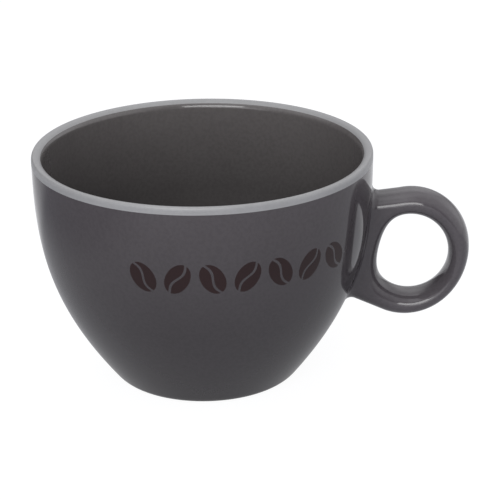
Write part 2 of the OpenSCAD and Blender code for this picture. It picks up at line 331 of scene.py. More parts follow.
def clay_finish(name, tones):
    """Matt fired clay with fine grain and soft patches."""
    finish, tree, shader, place = new_finish(name)
    grain = noise(tree, place, CLAY_GRAIN, detail=6)
    patch = noise(tree, place, CLAY_PATCH, detail=4)
    patches = math_node(tree, "MULTIPLY", patch, 1 - CLAY_GRAIN_SHARE)
    mottle = math_node(tree, "MULTIPLY_ADD", grain, CLAY_GRAIN_SHARE, patches)
    tree.links.new(ramp(tree, mottle, tones), shader.inputs["Base Color"])
    tree.links.new(ranged(tree, grain, 0, 1, *CLAY_ROUGHNESS), shader.inputs["Roughness"])
    tree.links.new(bump(tree, grain, CLAY_GRAIN_DEPTH), shader.inputs["Normal"])
    shader.inputs["Specular IOR Level"].default_value = CLAY_SPECULAR
    return finish


stoneware = clay_finish("stoneware", CLAY_TONES)

foot_inner = FOOT_RADIUS - FOOT_WIDTH
ceiling_radius = foot_inner - RECESS_HEIGHT * math.tan(RECESS_SLANT)
clay_outline = [Vector((0, RECESS_HEIGHT)), Vector((ceiling_radius, RECESS_HEIGHT))]
clay_outline.append(Vector((foot_inner, 0)))
clay_outline += [heel_layer(share, GLAZE_THICKNESS) for share in shares(HEEL_STEPS)[:-1]]
clay_outline += outer_wall(GLAZE_THICKNESS) + pale_lip(GLAZE_THICKNESS)
clay_outline += dark_lip(GLAZE_THICKNESS)[1:] + inner_wall(GLAZE_THICKNESS)
bowl = turned_piece("stoneware_bowl", clay_outline, stoneware)
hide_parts("bowl")
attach(bowl, "root")


# Ring handle: a closed ring with two short arms, cast by itself in the same stoneware. It is stuck to
# the wall with slip while both are damp. Glaze hides it, so it keeps its CAD mesh.
handle_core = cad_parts["ring_handle"]
handle_core.data.materials.clear()
handle_core.data.materials.append(stoneware)


# Luting slip: a thin layer of clay stirred to a cream, put between the handle's root and the wall. It
# fires to stoneware that is a little darker, and it lies out of sight in the joint with its CAD mesh.
SLIP_TONES = [(0.30, (0.28, 0.24, 0.19)), (0.55, (0.38, 0.33, 0.28)), (0.72, (0.44, 0.39, 0.33))]
slip_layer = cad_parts["luting_slip"]
slip_layer.data.materials.clear()
slip_layer.data.materials.append(clay_finish("slip", SLIP_TONES))


# Outer glaze: a glossy dark grey coat dipped over the outside. It stops in a soft edge on the heel,
# above the bare standing ring, and meets the pale coat of the lip in a level line. Here it also runs
# on behind the handle's root, where it isn't seen.
BAND_HEIGHT = 2.6 * MM
BARE_HEEL_SHARE = 0.5
GLAZE_CLOUD = 40 * MM
GLAZE_WAVE = 7 * MM
GLAZE_WAVE_DEPTH = 0.02 * MM
GLAZE_ROUGHNESS = 0.07
GLAZE_DULL_GAIN = 1.5
GLAZE_IOR = 1.5
FLECK_SIZE = 1.2 * MM
FLECK_SHARE = 0.25
FLECK_TONES = [(0.35, (0.6, 0.6, 0.6)), (0.6, (1, 1, 1))]
DARK_TONES = [(0.25, (0.0380, 0.0335, 0.0360)), (0.75, (0.0426, 0.0380, 0.0410))]
# Painted light: the outer coat is painted lighter from this height up to the lip, where more light falls
# on the upper wall
DARK_PAINTED_LIGHT_START = 35 * MM
DARK_PAINTED_LIGHT_GAIN = 1.5


def glaze_finish(name, tones, fleck_share=FLECK_SHARE, roughness=GLAZE_ROUGHNESS, ior=GLAZE_IOR):
    """A gloss with soft clouds and fine flecks, on a surface that is slightly wavy."""
    finish, tree, shader, place = new_finish(name)
    link = tree.links.new
    cloud = noise(tree, place, GLAZE_CLOUD, detail=3)
    fleck = noise(tree, place, FLECK_SIZE, detail=3)
    colours = tree.nodes.new("ShaderNodeMix")
    colours.data_type = "RGBA"
    colours.blend_type = "MULTIPLY"
    colours.inputs["Factor"].default_value = fleck_share
    link(ramp(tree, cloud, tones), colours.inputs["A"])
    link(ramp(tree, fleck, FLECK_TONES), colours.inputs["B"])
    link(colours.outputs["Result"], shader.inputs["Base Color"])
    link(ranged(tree, cloud, 0, 1, roughness, roughness * GLAZE_DULL_GAIN), shader.inputs["Roughness"])
    wave = noise(tree, place, GLAZE_WAVE, detail=1)
    link(bump(tree, wave, GLAZE_WAVE_DEPTH), shader.inputs["Normal"])
    shader.inputs["IOR"].default_value = ior
    return finish


def lighter_along(finish, axis, start, end, gain):
    """Paints light and shade into a coat: it gets lighter from one place on an axis to another."""
    tree = finish.node_tree
    link = tree.links.new
    parts = tree.nodes.new("ShaderNodeSeparateXYZ")
    link(tree.nodes.new("ShaderNodeTexCoord").outputs["Object"], parts.inputs[0])
    colour = tree.nodes["Principled BSDF"].inputs["Base Color"]
    scaled = tree.nodes.new("ShaderNodeVectorMath")
    scaled.operation = "SCALE"
    link(colour.links[0].from_socket, scaled.inputs["Vector"])
    link(ranged(tree, parts.outputs[axis], start, end, 1, gain), scaled.inputs["Scale"])
    link(scaled.outputs["Vector"], colour)


dark_glaze = glaze_finish("dark_glaze", DARK_TONES)
# Painted light: the outer coat gets lighter toward the lip
lighter_along(dark_glaze, "Z", DARK_PAINTED_LIGHT_START, CUP_HEIGHT, DARK_PAINTED_LIGHT_GAIN)

band_line = CUP_HEIGHT - BAND_HEIGHT


def wall_radius(height, depth):
    """Radius of the outer wall at a height."""
    points = outer_wall(depth)
    return float(np.interp(height, [p.y for p in points], [p.x for p in points]))


def coat_side(depth):
    """The coat's outline at a depth, from its soft edge on the heel up to the level line."""
    heel = []
    for share in shares(HEEL_STEPS)[:-1]:
        heel.append(heel_layer(BARE_HEEL_SHARE + (1 - BARE_HEEL_SHARE) * share, depth))
    wall = [p for p in outer_wall(depth) if p.y < band_line]
    return heel + wall + [Vector((wall_radius(band_line, depth), band_line))]


outer_outline = coat_side(0) + coat_side(GLAZE_THICKNESS)[::-1]
outer_coat = turned_piece("outer_glaze_coat", outer_outline, dark_glaze, closed=True)
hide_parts("outer_glaze")
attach(outer_coat, "root")


# Inner glaze: a dark coat poured into the cup and turned out again, from the lip to the floor. Its tones
# are lighter and a little warmer than the outer coat's; the lightness is painted light, and toward the
# lip it is painted lighter still, as painted light falling into the top of the cup.
INNER_LIT_TONES = [(0.25, (0.054, 0.0500, 0.0495)), (0.75, (0.061, 0.0570, 0.0565))]
INNER_PAINTED_LIGHT_START = 50 * MM
INNER_PAINTED_LIGHT_GAIN = 2.0
inner_glaze = glaze_finish("inner_lit_dark_glaze", INNER_LIT_TONES)
# Painted light: the inner coat gets lighter from this height up to the lip
lighter_along(inner_glaze, "Z", INNER_PAINTED_LIGHT_START, CUP_HEIGHT, INNER_PAINTED_LIGHT_GAIN)
inner_outline = inner_wall(GLAZE_THICKNESS)[::-1] + dark_lip(GLAZE_THICKNESS)[::-1]
inner_outline += dark_lip(0) + inner_wall(0)
inner_coat = turned_piece("inner_glaze_coat", inner_outline, inner_glaze)
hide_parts("inner_glaze")
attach(inner_coat, "root")


# Base glaze: a thin dark coat on the ceiling of the hollow inside the standing ring, from the same dip
# as the outer one. The slanted side of the hollow is wiped bare together with the ring.
base_low = RECESS_HEIGHT - GLAZE_THICKNESS
base_outline = [
    Vector((0, base_low)),
    Vector((ceiling_radius + GLAZE_THICKNESS * math.tan(RECESS_SLANT), base_low)),
    Vector((ceiling_radius, RECESS_HEIGHT)),
    Vector((0, RECESS_HEIGHT))]
base_coat = turned_piece("base_glaze_coat", base_outline, dark_glaze)
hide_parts("base_glaze")
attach(base_coat, "root")


# Rim glaze: a second, pale grey coat that only the lip is dipped in. It runs over the crown of the lip,
# from the level line on the outside to halfway down the lip's round on the inside.
PALE_TONES = [(0.25, (0.248, 0.248, 0.250)), (0.75, (0.288, 0.288, 0.290))]
PALE_FLECK_SHARE = 0.12
PALE_ROUGHNESS = 0.28
PALE_IOR = 1.42
pale_glaze = glaze_finish("pale_glaze", PALE_TONES, PALE_FLECK_SHARE, PALE_ROUGHNESS, PALE_IOR)


def rim_side(depth):
    """The pale coat's outline at a depth, from the level line over the crown."""
    wall = [p for p in outer_wall(depth) if p.y > band_line]
    return [Vector((wall_radius(band_line, depth), band_line))] + wall + pale_lip(depth)


rim_outline = rim_side(0) + rim_side(GLAZE_THICKNESS)[::-1]
rim_coat = turned_piece("rim_glaze_coat", rim_outline, pale_glaze, closed=True)
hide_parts("rim_glaze")
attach(rim_coat, "root")


# Handle glaze: the dark coat over the handle. The handle is a ring with two arms that run on to the
# wall, a web along the wall, and a hollow round its root, where glaze fills the joint with the wall.
# Painted light: the handle's tones are lighter than the body's dark coat, though it is the same glaze
HANDLE_LIT_TONES = [(0.25, (0.055, 0.0495, 0.054)), (0.75, (0.063, 0.0570, 0.062))]
# Painted shade: the handle's coat is painted darker toward its root, where shade falls in the joint with
# the wall
ROOT_SHADE_START = 60 * MM
ROOT_SHADE_END = 70 * MM
ROOT_SHADE_GAIN = 1.3
RING_HEIGHT_SHARE = 0.547
RING_OFF = 16 * MM
RING_RADIUS = 22.7 * MM
HOLE_RADIUS = 14.25 * MM
HALF_WIDTH = 7.5 * MM
RING_STRETCH_SHARE = 0.05
RING_SLOPE = math.radians(71)
HOLE_STRETCH_SHARE = 0.04
HOLE_SLOPE = math.radians(86)
HOLE_SHIFT = 0.8 * MM
HOLE_DROP = 0.3 * MM
WEB_THICKNESS = 4.4 * MM
HOLE_SQUARENESS = 5.2
EDGE_SQUARENESS = 2
UPPER_TURN = math.radians(90 + 8)
LOWER_TURN = math.radians(270 - 23)
ROOT_RADIUS = 3 * MM
FREE_LINES = 150
ROOT_LINES = 76
SIDE_COLUMNS = 48
SEAT_COLUMNS = 16
HALF_COLUMNS = SIDE_COLUMNS + SEAT_COLUMNS
COLUMNS = 2 * HALF_COLUMNS
GATHER_LINES = 36
SEARCH_STEPS = 40
WALL_SAMPLES = shares(400)
HOLE_SAMPLES = 720

wall_heights = [wall_layer(share, 0).y for share in WALL_SAMPLES]
wall_leans = [math.atan2(wall_direction(share).x, wall_direction(share).y) for share in WALL_SAMPLES]


def lean_at(height):
    """How far the wall leans out from upright at a height."""
    return float(np.interp(height, wall_heights, wall_leans))


ring_height = RING_HEIGHT_SHARE * CUP_HEIGHT
ring_middle = wall_radius(ring_height, 0) + RING_OFF
ring_lean = lean_at(ring_height)
flat_off = RING_OFF * math.cos(ring_lean) - WEB_THICKNESS


def facing(turn):
    """Where the outside faces at a turn. Past the ring, the arms run on as its tangents."""
    if turn < LOWER_TURN - 2 * math.pi or turn > math.pi:
        return LOWER_TURN
    return min(turn, UPPER_TURN)


def stretch(turn, share, slope):
    """Reach of an oval at a turn, against a circle."""
    return 1 + share * math.cos(2 * (turn - slope))


def last_inside(inside, outside, is_inside):
    """Halves the way between two places until it has the last place that is still inside."""
    for step in range(SEARCH_STEPS):
        middle = (inside + outside) / 2
        if is_inside(middle):
            inside = middle
        else:
            outside = middle
    return inside


class HandleSkin:
    """One surface of the handle: the glazed one, or the clay one coat below it."""

    def __init__(self, depth):
        self.grow = -depth
        self.root = ROOT_RADIUS + depth
        self.heights = [wall_layer(share, depth).y for share in WALL_SAMPLES]
        self.radii = [wall_layer(share, depth).x for share in WALL_SAMPLES]
        self.half_width = HALF_WIDTH - depth
        turns = [2 * math.pi * i / HOLE_SAMPLES for i in range(HOLE_SAMPLES + 1)]
        outline = np.array([(self.hole(t) * math.cos(t), self.hole(t) * math.sin(t)) for t in turns])
        self.hole_starts = outline[:-1]
        self.hole_steps = outline[1:] - outline[:-1]
        self.hole_lengths = (self.hole_steps ** 2).sum(1)

    def oval(self, turn):
        """Reach of the ring's outer oval."""
        return RING_RADIUS * stretch(turn, RING_STRETCH_SHARE, RING_SLOPE) + self.grow

    def ring(self, turn):
        """Reach of the outside, on the oval or along the arms."""
        return self.oval(facing(turn)) / math.cos(turn - facing(turn))

    def round_hole(self, turn):
        """Reach of the hole's oval."""
        shift = HOLE_SHIFT * math.cos(turn) - HOLE_DROP * math.sin(turn)
        return HOLE_RADIUS * stretch(turn, HOLE_STRETCH_SHARE, HOLE_SLOPE) + shift - self.grow

    def hole(self, turn):
        """Reach of the hole, which the web flattens on the wall's side."""
        toward_wall = max(0, math.cos(turn - math.pi + ring_lean))
        total = self.round_hole(turn) ** -HOLE_SQUARENESS
        total += (toward_wall / (flat_off - self.grow)) ** HOLE_SQUARENESS
        return total ** (-1 / HOLE_SQUARENESS)

    def half_thickness(self, turn):
        return (self.oval(turn) - self.round_hole(turn)) / 2

    def from_hole(self, turn, reach):
        """Distance of a point from the hole's outline, and the way from the point to it."""
        spot = np.array((reach * math.cos(turn), reach * math.sin(turn)))
        along = ((spot - self.hole_starts) * self.hole_steps).sum(1) / self.hole_lengths
        nearest = self.hole_starts + np.clip(along, 0, 1)[:, None] * self.hole_steps
        off = nearest - spot
        best = int((off ** 2).sum(1).argmin())
        return math.hypot(*off[best]), math.atan2(off[best][1], off[best][0])

    def from_outside(self, turn, reach):
        return self.oval(facing(turn)) - reach * math.cos(turn - facing(turn))

    def section(self, turn, reach):
        """Share of the way in from the nearer edge, the way out to that edge, and the half width."""
        inside, way = self.from_hole(turn, reach)
        outside = max(0, self.from_outside(turn, reach))
        half = min(self.half_thickness(turn), (inside + outside) / 2)
        if outside < inside:
            way = facing(turn)
        fill = min(1, min(inside, outside) / half)
        rounding = (1 - (1 - fill) ** EDGE_SQUARENESS) ** (1 / EDGE_SQUARENESS)
        return fill, way, self.half_width * rounding

    def ring_point(self, turn, reach):
        """A point on the side of the ring, as if the wall were far off."""
        return Vector((
            ring_middle + reach * math.cos(turn),
            self.section(turn, reach)[2],
            ring_height + reach * math.sin(turn)))

    def wall_radius(self, height):
        return float(np.interp(height, self.heights, self.radii))

    def gap(self, point):
        """Distance of a point from the wall."""
        return (point.xy.length - self.wall_radius(point.z)) * math.cos(lean_at(point.z))

    def normal(self, turn, reach):
        """The way that the side of the ring faces, of any length."""
        fill, way, width = self.section(turn, reach)
        edge = (1 - fill) ** (EDGE_SQUARENESS - 1) / self.half_thickness(turn)
        side = (width / self.half_width) ** (EDGE_SQUARENESS - 1) / self.half_width
        return Vector((edge * math.cos(way), side, edge * math.sin(way)))

    def seated(self, point, gap):
        """The point moved level, toward or from the axis, to that distance from the wall."""
        radius = self.wall_radius(point.z) + gap / math.cos(lean_at(point.z))
        flat = point.xy * (radius / point.xy.length)
        return Vector((flat.x, flat.y, point.z))

    def point(self, turn, reach):
        """A point of the ring, spread along the wall by the hollow where it comes near it."""
        point = self.ring_point(turn, reach)
        gap = max(0, self.gap(point))
        if gap >= self.root:
            return point
        lean = lean_at(point.z)
        out = point.xy.normalized() * math.cos(lean)
        away = Vector((out.x, out.y, -math.sin(lean)))
        normal = self.normal(turn, reach)
        along = (normal - normal.dot(away) * away).normalized()
        flare = self.root - math.sqrt(self.root ** 2 - (self.root - gap) ** 2)
        return self.seated(point + flare * along, gap)

    def tip(self, free, buried):
        """The last turn at which the outside of an arm is still free of the wall."""
        def is_free(turn):
            return self.gap(self.ring_point(turn, self.ring(turn))) > 0

        return last_inside(free, buried, is_free)

    def line_end(self, turn):
        """The reach at which a line across the web comes to the wall."""
        def is_free(reach):
            return self.gap(self.ring_point(turn, reach)) > 0

        return last_inside(self.hole(turn), self.ring(turn), is_free)

    def free_line(self, turn, outer_share):
        """A line round one side of the ring. The outer share of it goes to its seat columns."""
        near, far = self.hole(turn), self.ring(turn)
        line = []
        for column in range(HALF_COLUMNS + 1):
            share = (1 - outer_share) * min(1, column / SIDE_COLUMNS)
            share += outer_share * max(0, column - SIDE_COLUMNS) / SEAT_COLUMNS
            across = math.cos(math.pi * share)
            across = math.copysign(abs(across) ** (2 / EDGE_SQUARENESS), across)
            line.append(self.point(turn, near + (far - near) * (1 - across) / 2))
        return line

    def seat_line(self, turn):
        """A line across one side of the web that ends on the wall."""
        near, far = self.hole(turn), self.line_end(turn)
        line = []
        for column in range(SIDE_COLUMNS + 1):
            across = (1 - math.cos(math.pi * column / SIDE_COLUMNS)) / 2
            line.append(self.point(turn, near + (far - near) * across))
        return line + line[-1:] * SEAT_COLUMNS

    def lines(self):
        """All lines of the skin: across the web from tip to tip, then round the ring."""
        upper, lower = self.tip(math.pi / 2, math.pi), self.tip(1.5 * math.pi, math.pi)
        made = [self.free_line(upper, 0)]
        for step in range(1, ROOT_LINES):
            place = math.sin(math.pi / 2 * (2 * step / ROOT_LINES - 1))
            made.append(self.seat_line((upper + lower + (lower - upper) * place) / 2))
        made.append(self.free_line(lower, 0))
        start, end = lower - 2 * math.pi, upper
        for step in range(1, FREE_LINES):
            place = 2 * step / FREE_LINES - 1
            place = (place + math.sin(math.pi / 2 * place)) / 2
            from_tip = min(1, min(step, FREE_LINES - step) / GATHER_LINES)
            outer_share = SEAT_COLUMNS / HALF_COLUMNS * from_tip
            made.append(self.free_line((start + end + (end - start) * place) / 2, outer_share))
        return made


def skin_points(lines):
    """All points of a skin: each line, then its mirror image on the other side."""
    points = []
    for line in lines:
        points += line
        points += [Vector((p.x, -p.y, p.z)) for p in line[-2:0:-1]]
    return points


def skin_index(line, column):
    """Number of a point. At each of the two tips, all seat columns share one point."""
    line %= ROOT_LINES + FREE_LINES
    column %= COLUMNS
    at_tip = line in (0, ROOT_LINES)
    at_seat = SIDE_COLUMNS <= column <= COLUMNS - SIDE_COLUMNS
    return line * COLUMNS + (HALF_COLUMNS if at_tip and at_seat else column)


def skin_faces():
    """Faces between the lines, left open where the root sits on the wall."""
    faces = []
    for line in range(ROOT_LINES + FREE_LINES):
        for column in range(COLUMNS):
            if line < ROOT_LINES and SIDE_COLUMNS <= column < COLUMNS - SIDE_COLUMNS:
                continue
            corners = [skin_index(line, column), skin_index(line, column + 1),
                       skin_index(line + 1, column + 1), skin_index(line + 1, column)]
            faces.append(list(dict.fromkeys(corners)))
    return faces


root_edge = [skin_index(line, SIDE_COLUMNS) for line in range(ROOT_LINES + 1)]
root_edge += [skin_index(line, COLUMNS - SIDE_COLUMNS) for line in range(ROOT_LINES - 1, 0, -1)]

glazed_points = skin_points(HandleSkin(0).lines())
clay_points = skin_points(HandleSkin(GLAZE_THICKNESS).lines())
skin_count = len(glazed_points)
faces = [face[::-1] for face in skin_faces()]
faces += [[corner + skin_count for corner in face] for face in skin_faces()]
for here, there in zip(root_edge, root_edge[1:] + root_edge[:1]):
    faces.append([here, there, there + skin_count, here + skin_count])
handle_mesh = bpy.data.meshes.new("handle_glaze_coat")
handle_mesh.from_pydata(glazed_points + clay_points, [], faces)
handle_glaze = glaze_finish("handle_lit_dark_glaze", HANDLE_LIT_TONES)
# Painted shade: darker at the root where the handle joins the wall
lighter_along(handle_glaze, "X", ROOT_SHADE_START, ROOT_SHADE_END, ROOT_SHADE_GAIN)
handle_mesh.materials.append(handle_glaze)
handle_coat = bpy.data.objects.new("handle_glaze_coat", handle_mesh)
bpy.context.scene.collection.objects.link(handle_coat)
made = bmesh.new()
made.from_mesh(handle_mesh)
loose = [v for v in made.verts if not v.link_faces]
bmesh.ops.delete(made, geom=loose, context="VERTS")
bmesh.ops.recalc_face_normals(made, faces=made.faces[:])
for face in made.faces:
    face.smooth = True
for edge in made.edges:
    edge.smooth = edge.is_manifold and edge.calc_face_angle() < SHARP_EDGE
made.to_mesh(handle_mesh)
made.free()
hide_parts("handle_glaze")
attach(handle_coat, "root")


# Print: a row of coffee beans in dark brown enamel, laid on the glaze as a transfer and fired on. Each
# bean is a thin plate in two halves, with an S-shaped seam left open between them.
BEAN_COUNT = 7
BEAN_LENGTH = 11.6 * MM
BEAN_WIDTH = 8 * MM
SEAM_WIDTH = 0.9 * MM
SEAM_SWING = 0.85 * MM
BEAN_ROWS = 28
BEAN_COLUMNS = 6
BEAN_TILT = math.radians(34)
BEAN_TILT_SPREAD = math.radians(6)
PRINT_HEIGHT = 58 * MM
PRINT_START = math.radians(-16)
PRINT_STEP = math.radians(11.4)
PRINT_SEED = 4
PRINT_GROUND_FACETS = 1080
ENAMEL_PROUD = 0.04 * MM
ENAMEL_SUNK = 0.01 * MM
ENAMEL_TONES = [(0.25, (0.014, 0.0050, 0.0052)), (0.75, (0.019, 0.0068, 0.0070))]
ENAMEL_FLECK_SHARE = 0.2
ENAMEL_ROUGHNESS = 0.25
ENAMEL_IOR = 1.4


def bean_edges(height, side):
    """Where one half of a bean starts at the seam and ends at the outline, at a height on the bean."""
    seam = SEAM_SWING * math.sin(2 * math.pi * height / BEAN_LENGTH)
    outline = BEAN_WIDTH / 2 * math.sqrt(max(0, 1 - (2 * height / BEAN_LENGTH) ** 2))
    return seam + side * SEAM_WIDTH / 2, side * outline


def bean_end(side, way):
    """Height at which a half of a bean comes to its point, below or above."""
    def has_width(height):
        seam, outline = bean_edges(height, side)
        return side * (outline - seam) > 0

    return last_inside(0, way * BEAN_LENGTH / 2, has_width)


def bean_half(made, side):
    """Adds one flat half of a bean."""
    low, high = bean_end(side, -1), bean_end(side, 1)
    rows = []
    for row in range(BEAN_ROWS + 1):
        height = low + (high - low) * (1 - math.cos(math.pi * row / BEAN_ROWS)) / 2
        seam, outline = bean_edges(height, side)
        across = [0.5] if row in (0, BEAN_ROWS) else shares(BEAN_COLUMNS)
        places = [(seam + (outline - seam) * share, 0, height) for share in across]
        rows.append([made.verts.new(place) for place in places])
    for below, above in zip(rows, rows[1:]):
        for column in range(BEAN_COLUMNS):
            corners = [below[min(column, len(below) - 1)], below[min(column + 1, len(below) - 1)],
                       above[min(column + 1, len(above) - 1)], above[min(column, len(above) - 1)]]
            made.faces.new(list(dict.fromkeys(corners)))


def bean_plate():
    """One flat bean that stands on end and faces -Y, as thick as the enamel."""
    made = bmesh.new()
    for side in (-1, 1):
        bean_half(made, side)
    bmesh.ops.recalc_face_normals(made, faces=made.faces[:])
    front = made.faces[:]
    grown = bmesh.ops.extrude_face_region(made, geom=front)["geom"]
    for vert in made.verts:
        vert.co.y = ENAMEL_SUNK
    for vert in grown:
        if isinstance(vert, bmesh.types.BMVert):
            vert.co.y = -ENAMEL_PROUD
    bmesh.ops.recalc_face_normals(made, faces=made.faces[:])
    plate = bpy.data.meshes.new("bean_plate")
    made.to_mesh(plate)
    made.free()
    return plate


def bean_row_tree():
    """Sets beans in a row on the flat, then wraps the row round the wall."""
    tree = new_tree("row_of_beans", [
        ("Bean", "Geometry"), ("Ground", "Object"), ("Count", "Int"), ("Step", "Float"),
        ("Start", "Float"), ("Height", "Float"), ("Wall Radius", "Float"), ("Tilt", "Float"),
        ("Tilt Spread", "Float"), ("Seed", "Int"), ("Sharp Edge", "Float"), ("Finish", "Material")])
    add, link = tree.nodes.new, tree.links.new
    given = add("NodeGroupInput")

    # One point for each bean, along the wall rolled out flat
    step = add("ShaderNodeCombineXYZ")
    step_along = math_node(tree, "MULTIPLY", given.outputs["Step"], given.outputs["Wall Radius"])
    link(step_along, step.inputs["X"])
    start = add("ShaderNodeCombineXYZ")
    start_along = math_node(tree, "MULTIPLY", given.outputs["Start"], given.outputs["Wall Radius"])
    link(start_along, start.inputs["X"])
    link(given.outputs["Height"], start.inputs["Z"])
    row = add("GeometryNodeMeshLine")
    link(given.outputs["Count"], row.inputs["Count"])
    link(start.outputs[0], row.inputs["Start Location"])
    link(step.outputs[0], row.inputs["Offset"])

    # The beans lean left and right by turns, each by a slightly different tilt
    odd = math_node(tree, "MODULO", add("GeometryNodeInputIndex").outputs[0], 2)
    by_turns = math_node(tree, "MULTIPLY_ADD", odd, 2, -1)
    uneven = add("FunctionNodeRandomValue")
    link(math_node(tree, "MULTIPLY", given.outputs["Tilt Spread"], -1), uneven.inputs["Min"])
    link(given.outputs["Tilt Spread"], uneven.inputs["Max"])
    link(given.outputs["Seed"], uneven.inputs["Seed"])
    lean = math_node(tree, "MULTIPLY_ADD", by_turns, given.outputs["Tilt"], uneven.outputs["Value"])
    tilt = add("ShaderNodeCombineXYZ")
    link(lean, tilt.inputs["Y"])
    placed = add("GeometryNodeInstanceOnPoints")
    link(row.outputs["Mesh"], placed.inputs["Points"])
    link(given.outputs["Bean"], placed.inputs["Instance"])
    link(tilt.outputs[0], placed.inputs["Rotation"])
    flat = add("GeometryNodeRealizeInstances")
    link(placed.outputs["Instances"], flat.inputs["Geometry"])

    # Each point of a bean goes to where a level ray meets the wall, and then in or out by its own depth
    spot = add("ShaderNodeSeparateXYZ")
    link(add("GeometryNodeInputPosition").outputs[0], spot.inputs[0])
    turn = math_node(tree, "DIVIDE", spot.outputs["X"], given.outputs["Wall Radius"])
    outward = add("ShaderNodeCombineXYZ")
    link(math_node(tree, "SINE", turn), outward.inputs["X"])
    link(math_node(tree, "MULTIPLY", math_node(tree, "COSINE", turn), -1), outward.inputs["Y"])
    level = add("ShaderNodeCombineXYZ")
    link(spot.outputs["Z"], level.inputs["Z"])
    source = add("ShaderNodeVectorMath")
    source.operation = "ADD"
    link(outward.outputs[0], source.inputs[0])
    link(level.outputs[0], source.inputs[1])
    inward = add("ShaderNodeVectorMath")
    inward.operation = "SCALE"
    inward.inputs["Scale"].default_value = -1
    link(outward.outputs[0], inward.inputs[0])
    ground = add("GeometryNodeObjectInfo")
    link(given.outputs["Ground"], ground.inputs["Object"])
    ray = add("GeometryNodeRaycast")
    link(ground.outputs["Geometry"], ray.inputs["Target Geometry"])
    link(source.outputs[0], ray.inputs["Source Position"])
    link(inward.outputs[0], ray.inputs["Ray Direction"])
    proud = add("ShaderNodeVectorMath")
    proud.operation = "SCALE"
    link(ray.outputs["Hit Normal"], proud.inputs[0])
    link(math_node(tree, "MULTIPLY", spot.outputs["Y"], -1), proud.inputs["Scale"])
    seat = add("ShaderNodeVectorMath")
    seat.operation = "ADD"
    link(ray.outputs["Hit Position"], seat.inputs[0])
    link(proud.outputs[0], seat.inputs[1])
    wrapped = add("GeometryNodeSetPosition")
    link(flat.outputs["Geometry"], wrapped.inputs["Geometry"])
    link(seat.outputs[0], wrapped.inputs["Position"])
    finished(tree, given, smoothed(tree, wrapped.outputs["Geometry"], given.outputs["Sharp Edge"]))
    return tree


brown_enamel = glaze_finish(
    "brown_enamel", ENAMEL_TONES, ENAMEL_FLECK_SHARE, ENAMEL_ROUGHNESS, ENAMEL_IOR)
print_ground = turned_piece("print_ground", outer_wall(0), brown_enamel, facets=PRINT_GROUND_FACETS)
bean_print = made_by_tree("bean_print", bean_plate(), bean_row_tree(), {
    "Ground": print_ground, "Count": BEAN_COUNT, "Step": PRINT_STEP, "Start": PRINT_START,
    "Height": PRINT_HEIGHT, "Wall Radius": wall_radius(PRINT_HEIGHT, 0), "Tilt": BEAN_TILT,
    "Tilt Spread": BEAN_TILT_SPREAD, "Seed": PRINT_SEED, "Sharp Edge": SHARP_EDGE,
    "Finish": brown_enamel})
bpy.data.meshes.remove(print_ground.data)
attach(bean_print, "root")


# Stage: a floor of plain pale paper under white surroundings. The camera sees the floor as white with the
# cup's shadow on it. Light comes from wide panels all round and above, and from a soft box in front.
FLOOR_RADIUS = 4.0
FLOOR_FACETS = 96
FLOOR_DROP = 0.01 * MM
FLOOR_COLOUR = (0.48, 0.49, 0.54)
FLOOR_SEEN_SHARE = 0.2
FLOOR_SEEN_GLOW = 0.94
FLOOR_MIRRORED_SHARE = 0.35
FLOOR_GLOW = 0.33
SHADED_GLOW = 0.06
SHADE_EDGE = (-0.22, -0.1)
REAR_GLOW = 0.32
REAR_EDGE = (0.08, 0.13)
CAMERA_TURN = math.radians(2.8)
SKY_COLOUR = (0.99, 0.99, 1.02, 1)

# Each panel: azimuth, elevation and half angle in degrees, and brightness at its middle
PANELS = [
    (0, 8, 28, 0.9),
    (-25, 8, 32, 1.8),
    (0, 55, 35, 0.5),
    (-80, 52, 50, 0.95),
    (0, 90, 45, 0.5),
    (90, 20, 62, 1.0),
    (135, 20, 40, 0.5),
    (180, 25, 35, 0.75),
    (180, 60, 40, 0.8)]


def chosen(tree, ray, otherwise, value):
    """One value for rays of a kind, and another value for all other rays."""
    choice = tree.nodes.new("ShaderNodeMix")
    tree.links.new(tree.nodes.new("ShaderNodeLightPath").outputs[ray], choice.inputs["Factor"])
    give(tree, choice.inputs["A"], otherwise)
    give(tree, choice.inputs["B"], value)
    return choice.outputs["Result"]


def by_ray(tree, otherwise, seen, mirrored):
    """One value for what the camera sees, one for what a gloss mirrors and one for all other light."""
    return chosen(tree, "Is Camera Ray", chosen(tree, "Is Glossy Ray", otherwise, mirrored), seen)


def floor_paper():
    """Matt paper with a glow. In a gloss it is dim at the left and brighter behind the cup."""
    paper = bpy.data.materials.new("floor_paper")
    paper.use_nodes = True
    tree = paper.node_tree
    add, link = tree.nodes.new, tree.links.new
    tree.nodes.remove(tree.nodes["Principled BSDF"])
    place = add("ShaderNodeSeparateXYZ")
    link(add("ShaderNodeTexCoord").outputs["Object"], place.inputs[0])
    side_glow = ranged(tree, place.outputs["X"], *SHADE_EDGE, SHADED_GLOW, FLOOR_GLOW, smooth=True)
    rear_glow = ranged(tree, place.outputs["Y"], *REAR_EDGE, 0, REAR_GLOW, smooth=True)
    mirrored_glow = math_node(tree, "ADD", side_glow, rear_glow)
    tone = add("ShaderNodeVectorMath")
    tone.operation = "SCALE"
    tone.inputs["Vector"].default_value = FLOOR_COLOUR
    link(by_ray(tree, 1, FLOOR_SEEN_SHARE, FLOOR_MIRRORED_SHARE), tone.inputs["Scale"])
    matt = add("ShaderNodeBsdfDiffuse")
    link(tone.outputs["Vector"], matt.inputs["Color"])
    glow = add("ShaderNodeEmission")
    link(by_ray(tree, 0, FLOOR_SEEN_GLOW, mirrored_glow), glow.inputs["Strength"])
    both = add("ShaderNodeAddShader")
    link(matt.outputs[0], both.inputs[0])
    link(glow.outputs[0], both.inputs[1])
    link(both.outputs[0], tree.nodes["Material Output"].inputs["Surface"])
    return paper


